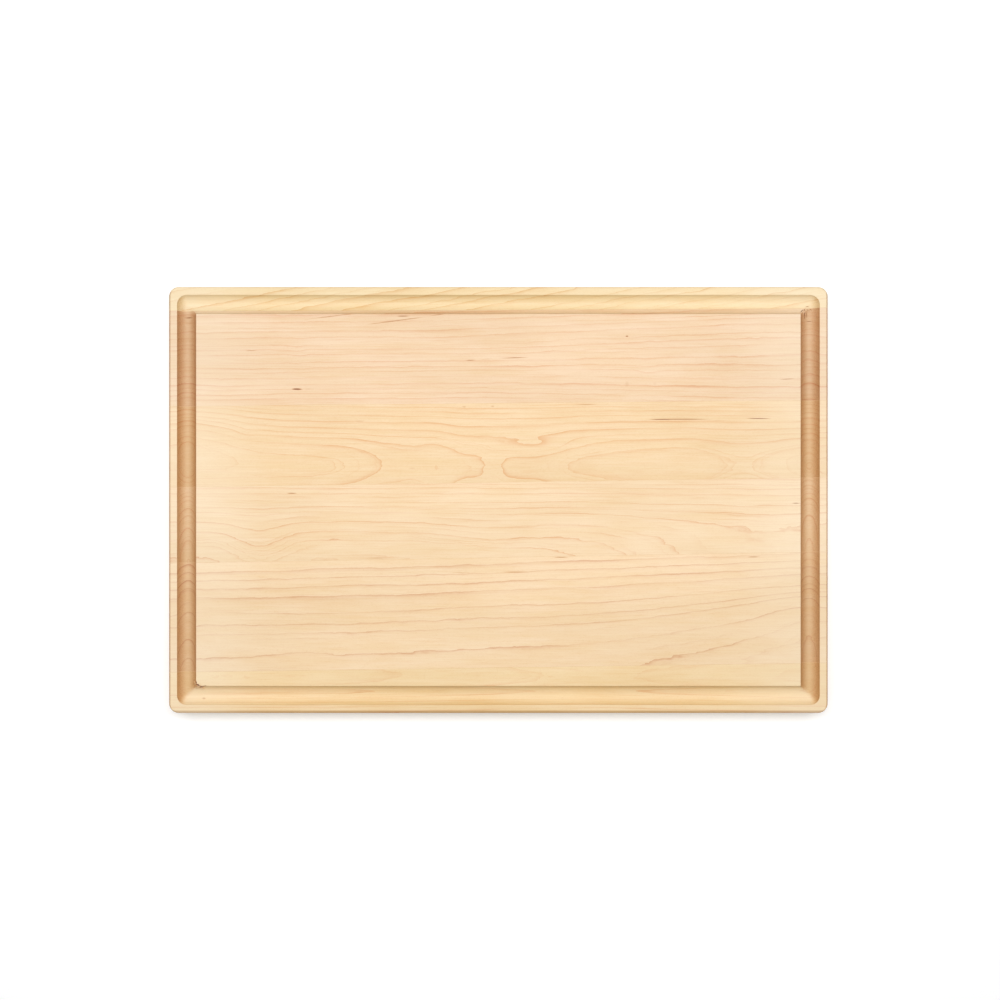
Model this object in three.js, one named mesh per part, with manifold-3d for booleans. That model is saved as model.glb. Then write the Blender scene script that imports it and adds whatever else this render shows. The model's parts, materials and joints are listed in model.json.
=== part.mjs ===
// A hard-maple cutting board: six staves glued edge to edge, trimmed, and routed with a juice groove.
// Millimetres, +Z up. The origin is the centre of the underside, +X runs along the grain, and +Y points to the back.
import * as THREE from "three";
import { mergeVertices } from "three/addons/utils/BufferGeometryUtils.js";
import Module from "manifold-3d";

const wasm = await Module();
wasm.setup();

// ---------- Driving dimensions ----------

const INCH = 25.4;
const BOARD_LENGTH = 17 * INCH;
const BOARD_WIDTH = 11 * INCH;
const BOARD_THICKNESS = 0.75 * INCH;
const CORNER_RADIUS = 0.25 * INCH; // outline corners, seen from above
const EDGE_RADIUS = 1.2; // easing along the top and bottom edges

const CUTTER_RADIUS = 0.25 * INCH; // half-inch round-nose bit
const GROOVE_DEPTH = 5;
const GROOVE_INSET = 11.6; // from the board's edge to the groove's centreline

const BOND_GAP = 0.15; // between the faces of two glued staves
const FILM_THICKNESS = 0.11; // cured glue in that gap

// From back to front: where each glue line crosses x = 0, and its rise in y per millimetre of x.
// The panel was trimmed a little out of square with its staves, so the lines run at a slight angle.
const GLUE_LINES = [
  { y: 125.1, slope: 0.0048 },
  { y: 63.4, slope: 0.0095 },
  { y: 11.6, slope: 0.0151 },
  { y: -37.7, slope: 0.0173 },
  { y: -109.8, slope: 0.0144 },
];

// Each stave came from its own plank, so each has its own tone.
const STAVE_TONES = ["#f3dcae", "#f4d9b8", "#f5dab0", "#f4dcb4", "#f1d8b2", "#f2daae"];
const GLUE_TONE = "#d6b27c";

// ---------- Resolution ----------

const CORNER_SEGMENTS = 10; // per quarter turn of the outline
const EDGE_SEGMENTS = 4; // across the easing
const CUTTER_SEGMENTS = 48; // round the bit
const OVERCUT = 20; // how far a slicing prism reaches past the board

// ---------- Solids ----------

// A closed three.js geometry as a manifold-3d solid.
function solidOf(geometry) {
  const bare = geometry.clone();
  bare.deleteAttribute("normal");
  bare.deleteAttribute("uv");
  const merged = mergeVertices(bare);
  return new wasm.Manifold(
    new wasm.Mesh({
      numProp: 3,
      vertProperties: new Float32Array(merged.attributes.position.array),
      triVerts: new Uint32Array(merged.index.array),
    }),
  );
}

// A manifold-3d solid as a named three.js mesh.
function meshOf(name, solid, material) {
  const { vertProperties, triVerts } = solid.getMesh();
  const geometry = new THREE.BufferGeometry();
  geometry.setAttribute("position", new THREE.BufferAttribute(vertProperties, 3));
  geometry.setIndex(new THREE.BufferAttribute(triVerts, 1));
  geometry.computeVertexNormals();
  const mesh = new THREE.Mesh(geometry, material);
  mesh.name = name;
  return mesh;
}

// The trimmed panel: a rounded rectangle with eased edges, standing on z = 0.
function makeBlank() {
  const x = BOARD_LENGTH / 2 - CORNER_RADIUS;
  const y = BOARD_WIDTH / 2 - CORNER_RADIUS;
  const outline = new THREE.Shape();
  outline.absarc(x, y, CORNER_RADIUS, 0, Math.PI / 2);
  outline.absarc(-x, y, CORNER_RADIUS, Math.PI / 2, Math.PI);
  outline.absarc(-x, -y, CORNER_RADIUS, Math.PI, 1.5 * Math.PI);
  outline.absarc(x, -y, CORNER_RADIUS, 1.5 * Math.PI, 2 * Math.PI);
  const blank = new THREE.ExtrudeGeometry(outline, {
    depth: BOARD_THICKNESS - 2 * EDGE_RADIUS,
    curveSegments: CORNER_SEGMENTS,
    bevelThickness: EDGE_RADIUS,
    bevelSize: EDGE_RADIUS,
    bevelOffset: -EDGE_RADIUS,
    bevelSegments: EDGE_SEGMENTS,
  });
  return solidOf(blank.translate(0, 0, EDGE_RADIUS));
}

// What the round-nose bit sweeps: a bar along each side of the groove's path, and a ball at each corner,
// which leaves the groove's outer corners round and its inner corners sharp.
function makeGrooveSweep() {
  const x = BOARD_LENGTH / 2 - GROOVE_INSET;
  const y = BOARD_WIDTH / 2 - GROOVE_INSET;
  const z = BOARD_THICKNESS - GROOVE_DEPTH + CUTTER_RADIUS;
  const bar = (length) => new THREE.CylinderGeometry(CUTTER_RADIUS, CUTTER_RADIUS, length, CUTTER_SEGMENTS);
  const ball = () => new THREE.SphereGeometry(CUTTER_RADIUS, CUTTER_SEGMENTS, CUTTER_SEGMENTS / 2);
  const pieces = [];
  for (const side of [-1, 1]) {
    pieces.push(bar(2 * x).rotateZ(Math.PI / 2).translate(0, side * y, z));
    pieces.push(bar(2 * y).translate(side * x, 0, z));
    for (const end of [-1, 1]) {
      pieces.push(ball().rotateX(Math.PI / 2).translate(end * x, side * y, z));
    }
  }
  return pieces.map(solidOf).reduce((sweep, piece) => sweep.add(piece));
}

// A line across the board, moved towards the back by an offset.
const shifted = (line, offset) => ({ y: line.y + offset, slope: line.slope });

// Everything between two lines, taller and longer than the board.
function makeSlice(front, back) {
  const x = BOARD_LENGTH / 2 + OVERCUT;
  const at = (line, x) => new THREE.Vector2(x, line.y + line.slope * x);
  const outline = new THREE.Shape([at(front, -x), at(front, x), at(back, x), at(back, -x)]);
  const slice = new THREE.ExtrudeGeometry(outline, {
    depth: BOARD_THICKNESS + 2 * OVERCUT,
    bevelEnabled: false,
  });
  return solidOf(slice.translate(0, 0, -OVERCUT));
}

// ---------- The board ----------

const routedPanel = makeBlank().subtract(makeGrooveSweep());

const maple = (tone) => new THREE.MeshStandardMaterial({ color: tone, roughness: 0.55, metalness: 0 });
const curedGlue = new THREE.MeshStandardMaterial({ color: GLUE_TONE, roughness: 0.4, metalness: 0 });

const backEdge = { y: BOARD_WIDTH / 2 + OVERCUT, slope: 0 };
const frontEdge = { y: -BOARD_WIDTH / 2 - OVERCUT, slope: 0 };
const seams = [backEdge, ...GLUE_LINES, frontEdge];

const staves = new THREE.Group();
STAVE_TONES.forEach((tone, i) => {
  const slice = makeSlice(shifted(seams[i + 1], BOND_GAP / 2), shifted(seams[i], -BOND_GAP / 2));
  staves.add(meshOf(`maple_stave_${i + 1}`, routedPanel.intersect(slice), maple(tone)));
});

const glueLines = new THREE.Group();
GLUE_LINES.forEach((line, i) => {
  const slice = makeSlice(shifted(line, -FILM_THICKNESS / 2), shifted(line, FILM_THICKNESS / 2));
  glueLines.add(meshOf(`glue_line_${i + 1}`, routedPanel.intersect(slice), curedGlue));
});

const cuttingBoard = new THREE.Group();
cuttingBoard.add(staves, glueLines);

export default cuttingBoard;
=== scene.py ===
"""A hard-maple cutting board: six edge-glued staves with a juice groove, on a white table."""

import json
import math

import bmesh
import bpy
from mathutils import Matrix, Vector, noise


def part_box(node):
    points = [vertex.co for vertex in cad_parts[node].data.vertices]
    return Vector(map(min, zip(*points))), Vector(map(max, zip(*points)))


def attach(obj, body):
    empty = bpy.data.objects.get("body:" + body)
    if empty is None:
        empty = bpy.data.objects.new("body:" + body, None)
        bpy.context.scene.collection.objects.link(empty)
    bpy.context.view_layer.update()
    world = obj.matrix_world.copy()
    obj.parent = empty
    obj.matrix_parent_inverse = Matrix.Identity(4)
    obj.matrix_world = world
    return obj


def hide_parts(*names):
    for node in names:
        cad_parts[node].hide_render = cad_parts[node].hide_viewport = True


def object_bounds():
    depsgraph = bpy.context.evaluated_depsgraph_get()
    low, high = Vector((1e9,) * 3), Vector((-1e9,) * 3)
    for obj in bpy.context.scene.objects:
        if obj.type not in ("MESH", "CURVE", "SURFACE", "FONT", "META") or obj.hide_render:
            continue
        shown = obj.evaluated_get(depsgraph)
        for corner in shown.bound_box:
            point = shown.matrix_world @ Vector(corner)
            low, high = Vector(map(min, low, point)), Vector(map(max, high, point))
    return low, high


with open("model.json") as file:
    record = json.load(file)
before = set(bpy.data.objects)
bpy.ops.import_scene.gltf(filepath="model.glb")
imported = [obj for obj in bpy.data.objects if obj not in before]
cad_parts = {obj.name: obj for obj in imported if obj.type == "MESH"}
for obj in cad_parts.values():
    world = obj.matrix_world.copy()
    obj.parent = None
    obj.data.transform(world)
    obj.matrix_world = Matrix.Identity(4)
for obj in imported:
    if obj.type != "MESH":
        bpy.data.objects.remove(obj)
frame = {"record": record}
cad_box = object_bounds()

MM = 0.001

# ---------- The board's shape, in metres ----------

BOARD_LOW, BOARD_HIGH = cad_box
LENGTH = BOARD_HIGH.x - BOARD_LOW.x
WIDTH = BOARD_HIGH.y - BOARD_LOW.y
THICKNESS = BOARD_HIGH.z - BOARD_LOW.z
CORNER_RADIUS = 6.35 * MM
EDGE_RADIUS = 1.2 * MM

# The back groove's clear space runs between the ends of the centreline, and is centred on it.
GROOVE_SPACES = {o["name"]: o["box_m"] for o in frame["record"]["physics"]["openings"]}
BACK_SPACE = GROOVE_SPACES["juice_groove_back"]
GROOVE_HALF_X = BACK_SPACE[1][0]
GROOVE_HALF_Y = (BACK_SPACE[0][1] + BACK_SPACE[1][1]) / 2
CUTTER_RADIUS = 6.35 * MM  # the round-nose bit that cut the groove
GROOVE_DEPTH = 5.0 * MM
ARRIS_RADIUS = 0.3 * MM  # the groove's top edges, rubbed over with sandpaper
MITRE_RADIUS = 0.12 * MM  # the groove's inside corners, nearly sharp at the field
MITRE_GROWTH = 0.2  # and rounder by this much of the depth below it
SUPPORT = 0.06 * MM  # a narrow strip that keeps the flats beside a rounding flat

JOINT = 0.15 * MM  # between the faces of two glued staves
CAD_FILM = 0.11 * MM  # the glue in it, as the CAD has it
GLUE_FILM = 0.146 * MM  # the glue as it looks, filling the joint less a hair on each side

CORNER_STEPS = 12
EDGE_STEPS = 5
COVE_STEPS = 44
ARRIS_STEPS = 3
SHARP_ANGLE = math.radians(32)  # faces that meet at more than this keep a hard edge between them

# ---------- Table, light and camera, in metres and watts ----------

TABLE_GAP = 0.05 * MM  # keeps the table's face off the board's flat underside
TABLE_HALF_WIDTH = 4.0
TABLE_GLOW = 0.24  # light of its own, which keeps the table white
ROOM_LIGHT = 0.42
SENSOR_WIDTH = 36.0  # in millimetres
CAMERA_HEIGHT = 0.95  # above the board's top face
CAMERA_X = 0.00105
FRAME_WIDTH = 0.6551  # the width of the view, measured on the board's top face

# ---------- The wood, in millimetres on the board ----------

# tone: the colour between rings.
# late: what a ring's last, dark wood multiplies the tone by.
# pith: where the tree's centre ran, across the board and up, so that rings are circles about it.
# drift: how far the pith moves across the board per millimetre along it.
# spacing: from ring to ring.
# seed: picks this stave's own patterns of noise.
# wander: how far the rings stray at random.
# thirst: how much the faces cut across the fibres darkened with oil, which also sets the painted shade in
# the grooves that cross them.
# fine: how dark the fainter lines inside a ring are.
# swells: where the rings dip towards the pith, or bulge away from it where the height is negative:
#     (x, y, half length, half width, height).
# streaks: dark mineral flecks along the grain, and painted shade in the torn hollows and cracks: (x, y,
# half length, half width, slope, darkness).
STAVES = {
    "maple_stave_1": {
        "tone": (0.803, 0.654, 0.421),
        "late": (0.84, 0.64, 0.42),
        "pith": (-100.0, -20.0),
        "drift": 0.2,
        "spacing": 5.5,
        "seed": 1.3,
        "wander": 2.4,
        "thirst": 0.3,
        "fine": 0.4,
        "swells": [],
        "streaks": [
            (-215.1, 135.9, 0.4, 0.8, 0.0, 0.45),
            # Painted shade in a torn hollow.
            (203.4, 127.3, 1.4, 0.35, 0.05, 0.7),
        ],
    },
    "maple_stave_2": {
        "tone": (0.766, 0.576, 0.394),
        "late": (0.86, 0.62, 0.50),
        "pith": (-60.0, -40.0),
        "drift": 0.008,
        "spacing": 3.4,
        "seed": 2.9,
        "wander": 1.5,
        "thirst": 1.0,
        "fine": 0.5,
        "swells": [
            (220.0, 118.0, 190.0, 24.0, -7.0),
            (220.0, 68.0, 150.0, 22.0, 4.0),
            (-131.0, 97.0, 6.0, 9.0, 1.1),
            (98.0, 86.0, 9.0, 7.0, 1.3),
            (-10.0, 103.0, 60.0, 9.0, 1.2),
        ],
        "streaks": [
            (-109.0, 120.4, 22.0, 0.4, 0.12, 0.5),
            # These seven are painted shade in the torn hollows and cracks.
            (-203.8, 119.9, 3.0, 0.45, 0.05, 1.0),
            (199.6, 124.4, 1.5, 0.45, 1.0, 0.9),
            (201.5, 125.4, 0.9, 0.4, 1.2, 0.8),
            (205.5, 125.4, 0.9, 0.35, -1.0, 0.7),
            (201.6, 121.6, 0.32, 3.6, 0.0, 0.8),
            (203.0, 122.2, 0.26, 2.2, 0.0, 0.6),
            (204.3, 117.6, 2.3, 0.3, -0.08, 0.6),
            (-203.5, 116.2, 3.2, 0.3, 0.02, 0.35),
            (-131.9, 72.6, 4.6, 0.75, 0.0, 1.0),
            (-124.0, 72.7, 5.0, 0.3, 0.0, 0.45),
            (-162.7, 97.8, 5.5, 0.35, 0.03, 0.5),
            (-18.6, 91.5, 4.5, 0.5, 0.03, 0.5),
            (-8.0, 92.3, 5.0, 0.3, 0.04, 0.35),
            (10.9, 93.2, 10.5, 0.4, 0.03, 0.6),
            (-62.5, 120.5, 5.5, 0.45, 0.02, 0.75),
            (-66.0, 117.6, 25.0, 0.5, 0.13, 0.5),
            (-40.0, 121.3, 7.0, 0.35, 0.12, 0.55),
            (84.2, 107.3, 1.3, 0.65, 0.0, 0.7),
            (189.0, 79.2, 6.5, 0.4, 0.05, 0.6),
            (84.2, 75.9, 2.0, 2.4, 0.0, 0.22),
            (102.6, 76.3, 1.8, 2.0, 0.0, 0.15),
            (-147.0, 101.5, 4.0, 0.3, 0.0, 0.25),
        ],
    },
    "maple_stave_3": {
        "tone": (0.766, 0.575, 0.354),
        "late": (0.86, 0.59, 0.38),
        "pith": (22.3, 2.0),
        "drift": 0.0,
        "spacing": 3.1,
        "seed": 3.7,
        "wander": 0.75,
        "thirst": 1.0,
        "fine": 0.5,
        "swells": [
            (-205.0, 46.0, 42.0, 22.0, -8.0),
            (-165.0, 44.0, 9.0, 5.0, 1.6),
            (-72.0, 21.0, 24.0, 20.0, 5.0),
            (-52.0, 22.0, 14.0, 18.0, 2.8),
            (-24.0, 22.0, 18.0, 27.0, 5.6),
            (1.0, 22.0, 20.0, 27.0, 5.6),
            (-3.5, 21.0, 7.5, 12.0, 1.9),
            (27.0, 22.0, 20.0, 27.0, 5.2),
            (24.0, 35.5, 26.0, 5.5, 3.4),
            (57.0, 21.0, 23.0, 22.0, 3.4),
            (93.0, 21.0, 26.0, 20.0, 2.2),
            (160.0, 22.0, 33.0, 20.0, 5.3),
        ],
        "streaks": [
            (57.5, 62.6, 10.0, 0.55, 0.0, 0.4),
            (121.6, 52.9, 24.0, 0.42, 0.0, 0.62),
            (105.0, 52.7, 8.0, 0.4, 0.0, 0.5),
            (170.4, 53.4, 9.5, 0.4, -0.01, 0.8),
            (-22.5, 61.1, 1.9, 0.8, 0.0, 0.3),
            (-3.8, 61.4, 1.7, 0.8, 0.0, 0.35),
            (-90.7, 51.6, 4.0, 1.0, 0.0, 0.22),
            (-56.5, 20.8, 3.2, 0.8, 0.0, 0.22),
        ],
    },
    "maple_stave_4": {
        "tone": (0.797, 0.616, 0.408),
        "late": (0.83, 0.57, 0.42),
        "pith": (-42.7, -41.0),
        "drift": 0.0,
        "spacing": 2.3,
        "seed": 4.1,
        "wander": 0.65,
        "thirst": 0.95,
        "fine": 0.6,
        "swells": [
            (-157.0, -28.0, 20.0, 18.0, 2.6),
            (175.0, -38.0, 100.0, 26.0, 8.4),
            (-6.0, -22.0, 30.0, 14.0, 1.2),
        ],
        "streaks": [
            (-135.2, 4.4, 4.0, 0.45, 0.0, 0.6),
            (195.0, -2.1, 3.2, 0.5, 0.0, 0.85),
            (-79.0, -38.0, 11.0, 0.4, 0.01, 0.45),
        ],
    },
    "maple_stave_5": {
        "tone": (0.807, 0.617, 0.406),
        "late": (0.73, 0.50, 0.41),
        "pith": (-138.0, -91.0),
        "drift": 0.03,
        "spacing": 4.2,
        "seed": 5.6,
        "wander": 1.1,
        "thirst": 1.0,
        "fine": 0.3,
        "swells": [
            (225.0, -84.0, 105.0, 34.0, -8.0),
            (200.0, -72.0, 26.0, 14.0, -2.6),
            (-190.0, -74.0, 22.0, 9.0, -1.2),
            (-90.0, -70.0, 40.0, 8.0, 1.2),
            (-125.0, -106.0, 12.0, 8.0, -1.0),
        ],
        "streaks": [
            (41.3, -37.6, 6.0, 0.4, 0.0, 0.6),
            (166.8, -37.3, 5.0, 0.4, 0.02, 0.55),
            (11.5, -47.2, 13.0, 0.55, 0.0, 0.42),
            (-25.0, -47.4, 8.0, 0.4, 0.0, 0.3),
            (-60.0, -73.6, 22.0, 1.3, 0.0, 0.16),
        ],
    },
    "maple_stave_6": {
        "tone": (0.812, 0.623, 0.376),
        "late": (0.84, 0.56, 0.42),
        "pith": (-115.0, -11.35),
        "drift": 0.0,
        "spacing": 2.8,
        "seed": 6.8,
        "wander": 0.35,
        "thirst": 1.0,
        "fine": 0.5,
        "swells": [
            (58.0, -115.0, 115.0, 40.0, 3.0),
        ],
        "streaks": [
            # The first four are painted shade in the torn hollows at the field's corner, the fifth a darker
            # patch around them.
            (-198.3, -119.6, 0.5, 1.4, 0.0, 0.75),
            (-197.2, -121.4, 1.3, 0.6, -0.2, 0.85),
            (-194.9, -122.8, 1.5, 0.45, 0.1, 0.85),
            (-192.7, -122.1, 1.4, 0.3, 0.1, 0.6),
            (-196.0, -122.0, 3.6, 2.8, 0.0, 0.3),
            (-193.8, -130.5, 1.8, 0.9, 0.0, 0.5),
            (-92.0, -126.5, 6.0, 0.5, 0.0, 0.3),
        ],
    },
}

# Each stave's tone drifts between these two.
COOL = (0.965, 0.96, 0.94)
WARM = (1.02, 1.03, 1.05)

# Tints, multiplied into the colour under them
PATCH = (0.98, 0.95, 0.89)  # broad darker areas
SILK = (0.965, 0.955, 0.87)  # long soft streaks
FIBRE = (0.94, 0.88, 0.82)  # thin threads
GRAIN = (0.975, 0.925, 0.88)  # wider threads
HALO = (0.985, 0.90, 0.87)  # the haze beside a ring's dark line
FLECK = (0.94, 0.89, 0.82)  # short ticks
STAIN_AND_HOLLOW_SHADE = (0.70, 0.46, 0.28)  # a mineral fleck, and painted shade in a torn hollow
DARK_STAIN_AND_HOLLOW_SHADE = (0.42, 0.24, 0.14)  # the middle of either
END_GRAIN = (0.89, 0.76, 0.68)  # on faces that cross the fibres
PORES = (0.80, 0.70, 0.60)  # the dark dots in end grain
GROOVE_OIL_AND_SHADE = (0.81, 0.715, 0.61)  # in the grooves cut across the fibres: partly oil that their rough floor holds, partly painted shade in the groove
PAINTED_EDGE_SHADE = (0.66, 0.54, 0.41)  # painted shade on the eased outside edges at the ends and the front, which turn away from the light
PAINTED_TILT_SHADE = (1.0, 0.985, 0.86)  # painted shade: every face that doesn't lie flat is made warmer and a little darker, as bounced light makes the grooves

PAINTED_END_LIGHT = (0.88, 0.79, 0.63)  # painted light, which makes the wood paler towards the board's ends

RING_LINE = 0.125  # how fast a ring's dark line fades, as a share of the spacing
HALO_WIDTH = 0.55  # and the haze beside it, in millimetres
FINER_LINES = 3.37  # fainter lines in each ring
FINER_LINE = 0.12  # how fast they fade, in millimetres
STREAK_HEIGHT = 17.0  # the flecks lie near the top face
STREAK_REACH = 6.0  # and reach about this far below it


# ---------- Torn wood, in millimetres ----------

# Where the router tore the wood near the field's corners: (operation, place, half sizes, turn in radians).
# DIFFERENCE is a hollow, and UNION a fibre left standing.
DAMAGE = {
    "maple_stave_1": [
        ("DIFFERENCE", (203.4, 127.3, 14.1), (1.5, 0.24, 0.45), 0.05),
    ],
    "maple_stave_2": [
        ("DIFFERENCE", (-203.8, 119.9, 14.1), (3.0, 0.30, 0.45), 0.05),
        ("UNION", (202.6, 124.5, 14.3), (1.5, 0.60, 0.50), 0.60),
        ("UNION", (201.0, 123.4, 15.0), (1.4, 0.50, 0.50), 1.00),
        ("UNION", (204.2, 124.8, 14.1), (1.1, 0.45, 0.40), -0.40),
        ("DIFFERENCE", (199.6, 124.4, 15.4), (1.7, 0.28, 0.70), 0.78),
        ("DIFFERENCE", (201.5, 125.4, 14.8), (1.1, 0.25, 0.60), 0.90),
        ("DIFFERENCE", (205.5, 125.4, 14.2), (1.0, 0.22, 0.45), -0.80),
        ("DIFFERENCE", (201.6, 121.6, 14.7), (0.24, 3.6, 0.45), 0.06),
        ("DIFFERENCE", (203.0, 122.2, 14.2), (0.20, 2.2, 0.40), -0.10),
        ("DIFFERENCE", (204.3, 117.6, 14.05), (2.3, 0.20, 0.35), -0.08),
    ],
    "maple_stave_6": [
        ("DIFFERENCE", (-198.2, -119.4, 18.3), (0.7, 1.8, 1.2), 0.2),
        ("DIFFERENCE", (-197.3, -121.3, 18.4), (1.7, 1.0, 1.5), -0.1),
        ("DIFFERENCE", (-195.2, -122.3, 18.0), (1.7, 0.9, 1.8), -0.3),
        ("DIFFERENCE", (-192.9, -121.9, 18.4), (1.8, 0.50, 1.0), 0.2),
        ("UNION", (-199.2, -119.9, 16.6), (0.8, 1.6, 1.3), 0.1),
        ("UNION", (-196.8, -122.6, 16.7), (1.9, 0.50, 1.0), 0.5),
        ("UNION", (-194.6, -123.5, 16.2), (1.6, 0.35, 0.9), -0.2),
    ],
}

# A tear's surface strays from an oval by this share of its half size, in waves of about 1 / RAGGED_PITCH.
RAGGED_HEIGHT = 0.30
RAGGED_PITCH = 1.7
RAGGED_SEED = 1  # without one, the noise would start from the clock


# ---------- Shader expressions ----------


class Value:
    """One output of a shader node, which can be used in a Python expression."""

    def __init__(self, finish, socket):
        self.finish = finish
        self.socket = socket

    def __add__(self, other):
        return self.finish.maths("ADD", self, other)

    __radd__ = __add__

    def __sub__(self, other):
        return self.finish.maths("SUBTRACT", self, other)

    def __rsub__(self, other):
        return self.finish.maths("SUBTRACT", other, self)

    def __mul__(self, other):
        return self.finish.maths("MULTIPLY", self, other)

    __rmul__ = __mul__

    def __truediv__(self, other):
        return self.finish.maths("DIVIDE", self, other)

    def __rtruediv__(self, other):
        return self.finish.maths("DIVIDE", other, self)

    def __neg__(self):
        return self.finish.maths("MULTIPLY", self, -1.0)

    def __abs__(self):
        return self.finish.maths("ABSOLUTE", self)

    def floor(self):
        return self.finish.maths("FLOOR", self)

    def exp(self):
        return self.finish.maths("EXPONENT", self)

    def root(self):
        return self.finish.maths("SQRT", self)

    def wave(self):
        return self.finish.maths("SINE", self)

    def above(self, low, high):
        """0 below low, 1 above high, and a soft step between."""
        return self.finish.node(
            "ShaderNodeMapRange",
            {"interpolation_type": "SMOOTHSTEP"},
            {"Value": self, "From Min": low, "From Max": high},
        )


class Finish:
    """A material under construction."""

    def __init__(self, name):
        self.material = bpy.data.materials.new(name)
        self.material.use_nodes = True
        self.tree = self.material.node_tree
        self.tree.nodes.clear()

    def node(self, kind, settings=None, inputs=None, output=0):
        """Adds a node: its settings first, then the values or links of its sockets."""
        made = self.tree.nodes.new(kind)
        for name, value in (settings or {}).items():
            setattr(made, name, value)
        sockets = {s.name: s for s in reversed(made.inputs)}
        sockets.update({s.identifier: s for s in made.inputs})
        for name, value in (inputs or {}).items():
            if isinstance(value, Value):
                self.tree.links.new(value.socket, sockets[name])
            else:
                sockets[name].default_value = value
        for i, socket in enumerate(made.outputs):
            if output in (i, socket.identifier):
                return Value(self, socket)

    def maths(self, operation, *terms):
        names = ("Value", "Value_001", "Value_002")
        return self.node("ShaderNodeMath", {"operation": operation}, dict(zip(names, terms)))

    def vector_maths(self, operation, inputs, output=0):
        return self.node("ShaderNodeVectorMath", {"operation": operation}, inputs, output)

    def join(self, x, y, z):
        return self.node("ShaderNodeCombineXYZ", {}, {"X": x, "Y": y, "Z": z})

    def split(self, vector):
        parts = self.node("ShaderNodeSeparateXYZ", {}, {"Vector": vector})
        return [Value(self, s) for s in parts.socket.node.outputs]

    def noise(self, at, scale, detail=2.0, roughness=0.5):
        """Cloudy noise between 0 and 1."""
        inputs = {"Vector": at, "Scale": scale, "Detail": detail, "Roughness": roughness}
        return self.node("ShaderNodeTexNoise", {}, inputs)

    def blend(self, share, first, second):
        """From the first colour to the second."""
        return self.node(
            "ShaderNodeMix",
            {"data_type": "RGBA"},
            {"Factor_Float": share, "A_Color": opaque(first), "B_Color": opaque(second)},
            "Result_Color",
        )

    def tint(self, share, colour, by):
        """A colour multiplied by another, as strongly as the share."""
        return self.node(
            "ShaderNodeMix",
            {"data_type": "RGBA", "blend_type": "MULTIPLY"},
            {"Factor_Float": share, "A_Color": opaque(colour), "B_Color": opaque(by)},
            "Result_Color",
        )

    def bump(self, height, distance):
        return self.node("ShaderNodeBump", {}, {"Height": height, "Distance": distance, "Strength": 1.0})

    def surface(self, inputs):
        """Ends the material with its surface shader."""
        shader = self.node("ShaderNodeBsdfPrincipled", {}, inputs)
        self.node("ShaderNodeOutputMaterial", {}, {"Surface": shader})
        return self.material


def shaded(colour, by):
    """Two plain colours multiplied."""
    return [a * b for a, b in zip(colour, by)]


def opaque(colour):
    """A colour with its alpha, or a link as it is."""
    return colour if isinstance(colour, Value) else (*colour, 1.0)


# ---------- Finishes ----------


def drawn_out(finish, point, along, across, shift, detail=2.0, roughness=0.5):
    """Noise drawn out along the grain. along and across: how many patches there are in a millimetre."""
    x, y, z = point
    return finish.noise(finish.join(x * along, y * across, z * across + shift), 1.0, detail, roughness)


def growth_rings(finish, place, wood):
    """How far a point is from the pith in millimetres, and how steep the rings stand there.

    The distance has the swells and the wander of a real trunk. Steepness is 0 where the rings lie
    flat and 1 where they stand upright.
    """
    x, y, z = point = finish.split(place)
    seed = wood["seed"]
    across = y - wood["pith"][0] - x * wood["drift"]
    up = z - wood["pith"][1]
    radius = (across * across + up * up).root()
    steepness = abs(across) / radius
    for swell_x, swell_y, half_length, half_width, height in wood["swells"]:
        away = finish.vector_maths(
            "MULTIPLY_ADD",
            {
                "Vector": place,
                "Vector_001": (1 / half_length, 1 / half_width, 0.0),
                "Vector_002": (-swell_x / half_length, -swell_y / half_width, 0.0),
            },
        )
        distance = finish.vector_maths("LENGTH", {"Vector": away}, "Value")
        radius = radius + (-(distance * distance)).exp() * height
    slow = finish.noise(finish.join(x * 0.012, y * 0.035, z * 0.03 + seed), 1.0, 1.0)
    quick = drawn_out(finish, point, 0.035, 0.28, seed)
    kinks = finish.noise(finish.join(x * 0.09, y * 0.12, seed), 1.0, 2.0)
    ragged = drawn_out(finish, point, 0.20, 0.55, -seed)
    stray = (slow - 0.5) * 1.6 + (quick - 0.5) * 1.0 + (kinks - 0.5) * 0.8 + (ragged - 0.5) * 0.3
    return radius + stray * wood["wander"], steepness


def ring_lines(finish, place, wood):
    """The dark line that ends each ring, the haze before it, and the fainter lines inside the ring."""
    x, _, _ = finish.split(place)
    seed, spacing = wood["seed"], wood["spacing"]
    radius, steepness = growth_rings(finish, place, wood)
    even = radius * (1 / spacing)
    rings = even + (even * 1.7 + seed).wave() * 0.2 + (even * 4.1 + 2 * seed).wave() * 0.1
    ring = rings.floor()
    early = (1.0 - (rings - ring)) * spacing / (steepness * 0.8 + 0.2)  # about as far as along the top face
    strength = finish.noise(finish.join(x * 0.015, ring * 7.31, seed), 1.0, 3.0).above(0.30, 0.70)
    line = (early * (-1 / (RING_LINE * spacing))).exp() * (strength * 0.82 + 0.18)
    halo = (early * (-1 / HALO_WIDTH)).exp() * (strength * 0.7 + 0.3)

    finer = rings * FINER_LINES + seed
    within = (finer.floor() + 1.0 - finer) * (spacing / FINER_LINES)
    shown = finish.noise(finish.join(x * 0.022, finer.floor() * 5.17, seed), 1.0, 2.0).above(0.42, 0.75)
    return line, halo, (within * (-1 / FINER_LINE)).exp() * shown


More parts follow.
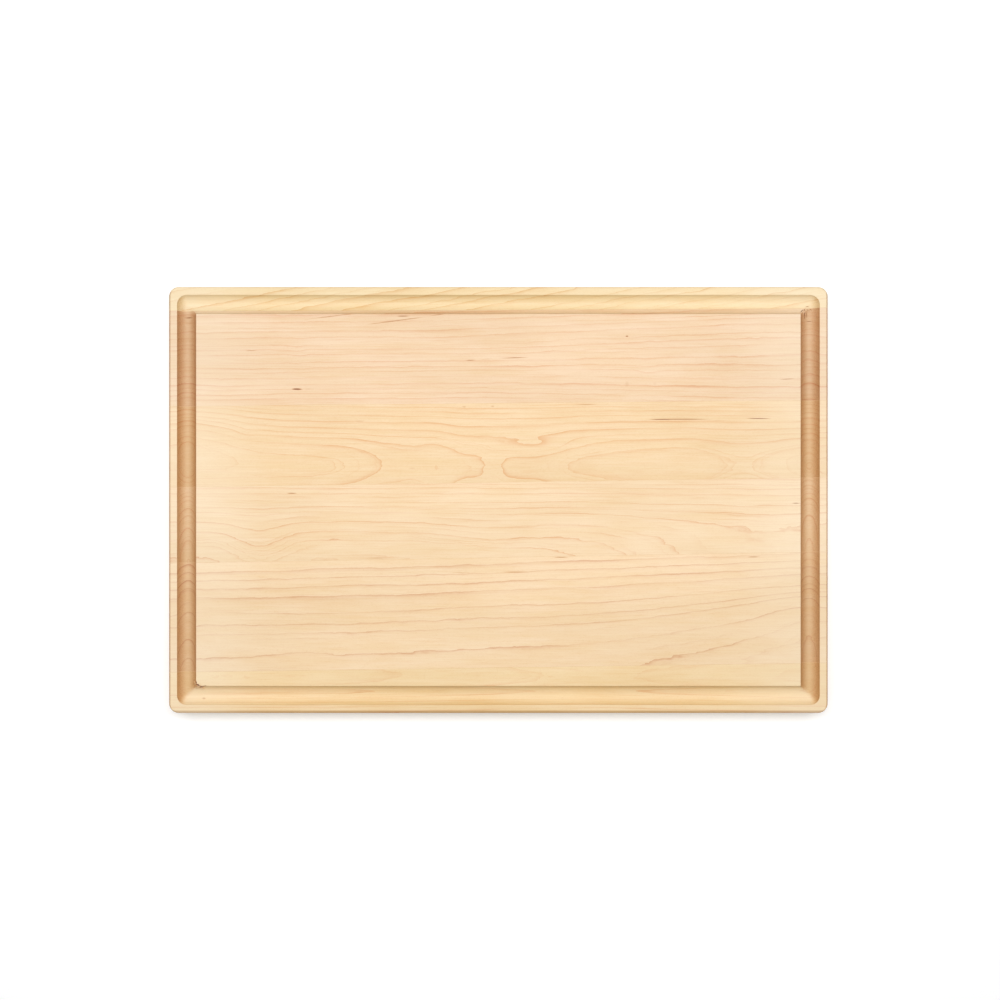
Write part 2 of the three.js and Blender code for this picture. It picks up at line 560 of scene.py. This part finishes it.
def flecks_and_hollow_shade(finish, place, wood, ragged):
    """Where the dark flecks and the painted shade in torn hollows are: 0 in clean wood, up to each one's
    darkness.
    """
    x, y, z = finish.split(place)
    stain_and_hollow_shade = 0.0
    for streak_x, streak_y, half_length, half_width, slope, darkness in wood["streaks"]:
        along = (x - streak_x) / half_length
        across = (y - streak_y - (x - streak_x) * slope) / half_width
        depth = (z - STREAK_HEIGHT) / STREAK_REACH
        distance = finish.vector_maths("LENGTH", {"Vector": finish.join(along, across, depth)}, "Value")
        stain_and_hollow_shade = (1.0 - (distance + ragged).above(0.35, 1.15)) * darkness + stain_and_hollow_shade
    return stain_and_hollow_shade


def cross_cut_groove(x, y, z):
    """1 in the two grooves that cross the fibres, up to their mitres, and 0 elsewhere."""
    half_x, half_y, top = GROOVE_HALF_X / MM, GROOVE_HALF_Y / MM, THICKNESS / MM
    sunk = (top - z).above(0.05, 0.6) * z.above(12.5, 13.5)
    beside = abs(abs(x) - half_x).above(6.0, 6.7)
    before_mitre = (abs(x) - abs(y) - (half_x - half_y)).above(-2.5, 3.5)
    return sunk * (1.0 - beside) * before_mitre


def edge_shade_share(x, y, z):
    """Where the painted edge shade goes: 1 on the top outside edges at the ends and the front, and 0
    elsewhere.
    """
    end, front = LENGTH / 2 / MM, WIDTH / 2 / MM
    outside = abs(x).above(end - 1.6, end - 0.3) + (-y).above(front - 2.5, front - 1.0)
    return outside * z.above(15.0, 18.0)


def maple(name, wood):
    """Sanded and oiled hard maple: thin brown ring lines, silky fibre and brown end grain."""
    finish = Finish(name)
    metres = finish.node("ShaderNodeTexCoord", {}, {}, "Object")
    place = finish.vector_maths("SCALE", {"Vector": metres, "Scale": 1 / MM})
    x, y, z = point = finish.split(place)
    seed = wood["seed"]

    line, halo, faint_line = ring_lines(finish, place, wood)
    fibre = drawn_out(finish, point, 0.035, 2.6, seed, 4.0, 0.6)
    grain = drawn_out(finish, point, 0.06, 1.15, 2 * seed, 3.0, 0.6)
    silk = drawn_out(finish, point, 0.012, 0.5, -seed, 3.0, 0.55)
    patch = drawn_out(finish, point, 0.02, 0.10, -2 * seed, 3.0, 0.6)
    cloud = drawn_out(finish, point, 0.006, 0.02, 3 * seed)
    fleck = drawn_out(finish, point, 0.75, 3.2, seed).above(0.52, 0.74)
    pores = drawn_out(finish, point, 0.45, 1.9, seed, 4.0, 0.65)
    stain_and_hollow_shade = flecks_and_hollow_shade(finish, place, wood, (fibre - 0.5) * 1.2)

    normal = finish.node("ShaderNodeNewGeometry", {}, {}, "Normal")
    lean_x, _, lean_z = finish.split(normal)
    end = abs(lean_x).above(0.02, 0.85)  # faces cut across the fibres
    # The grooves across the fibres darken for the oil in their rough floor and for painted shade.
    groove_oil_and_shade_share = cross_cut_groove(x, y, z) * wood["thirst"]
    # Painted light: the wood grows paler towards the board's ends, except on the grooves and faces that
    # cross the fibres.
    end_light_share = abs(x).above(140.0, 205.0) * (0.5 + 1.0 * cloud) * (1.0 - groove_oil_and_shade_share) * (1.0 - end)

    colour = finish.blend(cloud.above(0.3, 0.7), shaded(wood["tone"], COOL), shaded(wood["tone"], WARM))
    for share, tint in (
        (patch.above(0.35, 0.68), PATCH),
        (silk.above(0.25, 0.8) * 0.65, SILK),
        (fibre.above(0.35, 0.8) * 0.7, FIBRE),
        (grain.above(0.38, 0.72) * 0.6, GRAIN),
        (halo * 0.4, HALO),
        (faint_line * wood["fine"], wood["late"]),
        (line, wood["late"]),
        (fleck * 0.7, FLECK),
        # Mineral flecks, and painted shade in the torn hollows.
        (stain_and_hollow_shade.above(0.0, 0.7), STAIN_AND_HOLLOW_SHADE),
        (stain_and_hollow_shade.above(0.3, 1.0), DARK_STAIN_AND_HOLLOW_SHADE),
        # Painted shade on the tilted faces.
        (1.0 - abs(lean_z), PAINTED_TILT_SHADE),
        # Oil in the cross-cut grooves, with painted shade.
        (groove_oil_and_shade_share, GROOVE_OIL_AND_SHADE),
        (end * wood["thirst"], END_GRAIN),
        (end * pores.above(0.42, 0.66) * 0.7, PORES),
        # Painted shade on the outside edges that turn away from the light.
        (edge_shade_share(x, y, z), PAINTED_EDGE_SHADE),
    ):
        colour = finish.tint(share, colour, tint)

    height = fibre * 0.5 + silk * 0.2 - line * 0.25 - fleck * 0.3 + end * pores * 0.8
    return finish.surface(
        {
            # The painted light towards the ends is mixed in last.
            "Base Color": finish.blend(end_light_share * 0.20, colour, PAINTED_END_LIGHT),
            "Roughness": 0.50 + (fibre - 0.5) * 0.16 + end * 0.18,
            "Normal": finish.bump(height, 0.06 * MM),
            "IOR": 1.46,
        }
    )


def cured_glue(name):
    """Wood glue sanded flush, a tan thread in the joint."""
    finish = Finish(name)
    metres = finish.node("ShaderNodeTexCoord", {}, {}, "Object")
    patches = finish.noise(metres, 220.0, 3.0)
    return finish.surface(
        {
            "Base Color": finish.blend(patches.above(0.35, 0.65), (0.62, 0.40, 0.19), (0.72, 0.50, 0.28)),
            "Roughness": 0.34 + patches * 0.2,
            "Normal": finish.bump(patches, 0.02 * MM),
            "IOR": 1.48,
        }
    )


def white_table(name):
    """Matt white paint that glows a little."""
    finish = Finish(name)
    metres = finish.node("ShaderNodeTexCoord", {}, {}, "Object")
    mottle = finish.noise(metres, 9.0, 3.0)
    return finish.surface(
        {
            "Base Color": finish.blend(mottle, (0.86, 0.86, 0.86), (0.89, 0.89, 0.89)),
            "Roughness": 0.7 + mottle * 0.1,
            "Normal": finish.bump(finish.noise(metres, 900.0, 2.0), 0.02 * MM),
            "Specular IOR Level": 0.2,
            "Emission Color": (1.0, 1.0, 1.0, 1.0),
            "Emission Strength": TABLE_GLOW,
        }
    )


# ---------- Shaping the board ----------


def rounded_rectangle(bm, half_x, half_y, radius, z):
    """The corners and edges of a flat rectangle with rounded corners."""
    matrix = Matrix.Translation((0.0, 0.0, z)) @ Matrix.Diagonal((half_x, half_y, 1.0, 1.0))
    corners = bmesh.ops.create_grid(bm, x_segments=1, y_segments=1, size=1.0, matrix=matrix)["verts"]
    bmesh.ops.bevel(
        bm,
        geom=corners,
        offset=radius,
        offset_type="OFFSET",
        segments=CORNER_STEPS,
        profile=0.5,
        affect="VERTICES",
        material=-1,
    )
    (face,) = bm.faces
    verts, edges = list(face.verts), list(face.edges)
    bmesh.ops.delete(bm, geom=[face], context="FACES_ONLY")
    return verts, edges


def edge_profile():
    """Across the board's outside from the underside to the top: (distance in from the edge, height)."""
    quarter = [0.5 * math.pi * i / EDGE_STEPS for i in range(EDGE_STEPS + 1)]
    under = [(EDGE_RADIUS * (1 - math.sin(a)), EDGE_RADIUS * (1 - math.cos(a))) for a in quarter]
    strip = EDGE_RADIUS + SUPPORT
    lower = [(strip, 0.0), *under, (0.0, strip)]
    return lower + [(inset, THICKNESS - z) for inset, z in reversed(lower)]


def groove_profile():
    """Across the groove from the rim to the field: (distance out from the groove's centreline, height)."""
    centre_z = THICKNESS - GROOVE_DEPTH + CUTTER_RADIUS
    arris_z = THICKNESS - ARRIS_RADIUS
    reach = CUTTER_RADIUS + ARRIS_RADIUS
    arris_out = math.sqrt(reach**2 - (centre_z - arris_z) ** 2)
    lean = math.atan2(arris_out, centre_z - arris_z)
    bends = [lean * i / ARRIS_STEPS for i in range(ARRIS_STEPS)]
    arris = [(arris_out - ARRIS_RADIUS * math.sin(a), arris_z + ARRIS_RADIUS * math.cos(a)) for a in bends]
    outer = [(arris_out + SUPPORT, THICKNESS), *arris]
    turns = [lean * (1 - 2 * i / COVE_STEPS) for i in range(COVE_STEPS + 1)]
    cove = [(CUTTER_RADIUS * math.sin(a), centre_z - CUTTER_RADIUS * math.cos(a)) for a in turns]
    inner = [(-out, z) for out, z in reversed(outer)]
    return outer + cove + inner


def routed_panel():
    """The whole board in one piece."""
    outside = [
        (LENGTH / 2 - inset, WIDTH / 2 - inset, CORNER_RADIUS - inset, z) for inset, z in edge_profile()
    ]
    groove = []
    for out, z in groove_profile():
        mitre = MITRE_RADIUS + MITRE_GROWTH * (THICKNESS - z)
        groove.append((GROOVE_HALF_X + out, GROOVE_HALF_Y + out, max(out, mitre), z))
    levels = outside + groove

    # The loops are joined as a tall stack, where each one's neighbour is plain, and then brought down.
    bm = bmesh.new()
    stack = [rounded_rectangle(bm, *level[:3], i * THICKNESS) for i, level in enumerate(levels)]
    verts, loops = zip(*stack)
    for lower, upper in zip(loops, loops[1:]):
        bmesh.ops.bridge_loops(bm, edges=lower + upper)
    for corners, (*_, z) in zip(verts, levels):
        bmesh.ops.translate(bm, verts=corners, vec=(0.0, 0.0, z - corners[0].co.z))
    bmesh.ops.edgeloop_fill(bm, edges=loops[0])
    bmesh.ops.edgeloop_fill(bm, edges=loops[-1])
    bmesh.ops.recalc_face_normals(bm, faces=bm.faces)
    return bm


def trim(bm, y, slope, keep_back):
    """Saws the panel across its width along a line y + slope * x, and closes the cut."""
    side = 1.0 if keep_back else -1.0
    cut = bmesh.ops.bisect_plane(
        bm,
        geom=[*bm.verts, *bm.edges, *bm.faces],
        dist=1e-8,
        plane_co=(0.0, y, 0.0),
        plane_no=Vector((-slope, 1.0, 0.0)).normalized() * side,
        clear_inner=True,
    )["geom_cut"]
    edges = [e for e in cut if isinstance(e, bmesh.types.BMEdge)]
    bmesh.ops.edgeloop_fill(bm, edges=edges)


def slice_of(panel, front, back):
    """The part of the panel between two lines, each (y, slope) or None for the panel's own edge."""
    bm = panel.copy()
    if front:
        trim(bm, *front, True)
    if back:
        trim(bm, *back, False)
    bmesh.ops.remove_doubles(bm, verts=bm.verts, dist=1e-7)
    bmesh.ops.recalc_face_normals(bm, faces=bm.faces)
    return bm


def tear(piece, operation, place, half_sizes, turn):
    """Cuts a rough hollow out of a piece, or joins a torn fibre onto it, both in millimetres."""
    bm = bmesh.new()
    bmesh.ops.create_icosphere(bm, subdivisions=3, radius=1.0)
    for vert in bm.verts:
        vert.co += noise.noise_vector(vert.co * RAGGED_PITCH + Vector(place)) * RAGGED_HEIGHT
    bmesh.ops.scale(bm, verts=bm.verts, vec=[size * MM for size in half_sizes])
    bmesh.ops.rotate(bm, verts=bm.verts, matrix=Matrix.Rotation(turn, 3, "Z"))
    bmesh.ops.translate(bm, verts=bm.verts, vec=[at * MM for at in place])
    mesh = bpy.data.meshes.new("cutter")
    bm.to_mesh(mesh)
    bm.free()
    cutter = bpy.data.objects.new("cutter", mesh)
    bpy.context.collection.objects.link(cutter)
    torn = piece.modifiers.new("torn", "BOOLEAN")
    torn.operation = operation
    torn.solver = "MANIFOLD"
    torn.object = cutter
    seen = piece.evaluated_get(bpy.context.evaluated_depsgraph_get())
    whole = bpy.data.meshes.new_from_object(seen)
    piece.modifiers.clear()
    piece.data = whole
    bpy.data.objects.remove(cutter)


def add_piece(name, bm, node, material):
    """Turns a finished bmesh into a piece that stands for a CAD node, with that stave's torn wood."""
    mesh = bpy.data.meshes.new(name)
    bm.to_mesh(mesh)
    bm.free()
    mesh.materials.append(material)
    piece = bpy.data.objects.new(name, mesh)
    bpy.context.collection.objects.link(piece)
    for damage in DAMAGE.get(node, []):
        tear(piece, *damage)
    piece.data.shade_smooth()
    piece.data.set_sharp_from_angle(angle=SHARP_ANGLE)
    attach(piece, "root")
    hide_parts(node)


# ---------- The board ----------


def glue_line(index):
    """Where a glue line crosses the board's middle, and its slope, from its CAD film."""
    low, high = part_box(f"glue_line_{index}")
    slope = (high.y - low.y - CAD_FILM) / (high.x - low.x)
    return (low.y + high.y) / 2, slope


def shifted(line, offset):
    """The line moved towards the back."""
    y, slope = line
    return y + offset, slope


noise.seed_set(RAGGED_SEED)
panel = routed_panel()

lines = [glue_line(i) for i in range(1, len(STAVES))]
for i, (node, wood) in enumerate(STAVES.items()):
    front = shifted(lines[i], JOINT / 2) if i < len(lines) else None
    back = shifted(lines[i - 1], -JOINT / 2) if i > 0 else None
    stave = slice_of(panel, front, back)
    add_piece(f"oiled_{node}", stave, node, maple(f"{node}_wood", wood))

glue = cured_glue("cured_wood_glue")
for i, line in enumerate(lines, start=1):
    film = slice_of(panel, shifted(line, -GLUE_FILM / 2), shifted(line, GLUE_FILM / 2))
    add_piece(f"sanded_glue_line_{i}", film, f"glue_line_{i}", glue)
panel.free()


# ---------- Table, light and camera ----------


def add_table():
    bm = bmesh.new()
    lowered = Matrix.Translation((0.0, 0.0, -TABLE_GAP))
    bmesh.ops.create_grid(bm, x_segments=1, y_segments=1, size=TABLE_HALF_WIDTH, matrix=lowered)
    mesh = bpy.data.meshes.new("table_top")
    bm.to_mesh(mesh)
    bm.free()
    mesh.materials.append(white_table("white_table_paint"))
    table = bpy.data.objects.new("table_top", mesh)
    bpy.context.collection.objects.link(table)


def add_softbox(name, place, aim, size_x, size_y, power):
    """A flat lamp that shines from its place towards its aim, and isn't seen itself."""
    lamp = bpy.data.lights.new(name, "AREA")
    lamp.shape = "RECTANGLE"
    lamp.size = size_x
    lamp.size_y = size_y
    lamp.energy = power
    softbox = bpy.data.objects.new(name, lamp)
    softbox.location = place
    softbox.rotation_euler = (Vector(aim) - Vector(place)).to_track_quat("-Z", "Y").to_euler()
    softbox.visible_camera = False
    bpy.context.collection.objects.link(softbox)


add_table()
add_softbox(
    "overhead_softbox", place=(0.0, 0.10, 0.62), aim=(0.0, 0.03, 0.0), size_x=1.15, size_y=0.26, power=4.05
)
add_softbox("ceiling_panel", place=(0.0, 0.0, 1.9), aim=(0.0, 0.0, 0.0), size_x=2.4, size_y=2.0, power=6.0)

world = bpy.data.worlds.new("studio_room")
world.use_nodes = True
background = world.node_tree.nodes["Background"]
background.inputs["Color"].default_value = (1.0, 1.0, 1.0, 1.0)
background.inputs["Strength"].default_value = ROOM_LIGHT
bpy.context.scene.world = world

lens = bpy.data.cameras.new("camera")
lens.sensor_width = SENSOR_WIDTH
lens.lens = SENSOR_WIDTH * CAMERA_HEIGHT / FRAME_WIDTH
camera = bpy.data.objects.new("camera", lens)
camera.location = (CAMERA_X, 0.0, THICKNESS + CAMERA_HEIGHT)
bpy.context.collection.objects.link(camera)
bpy.context.scene.camera = camera
bpy.context.scene.view_settings.view_transform = "Standard"
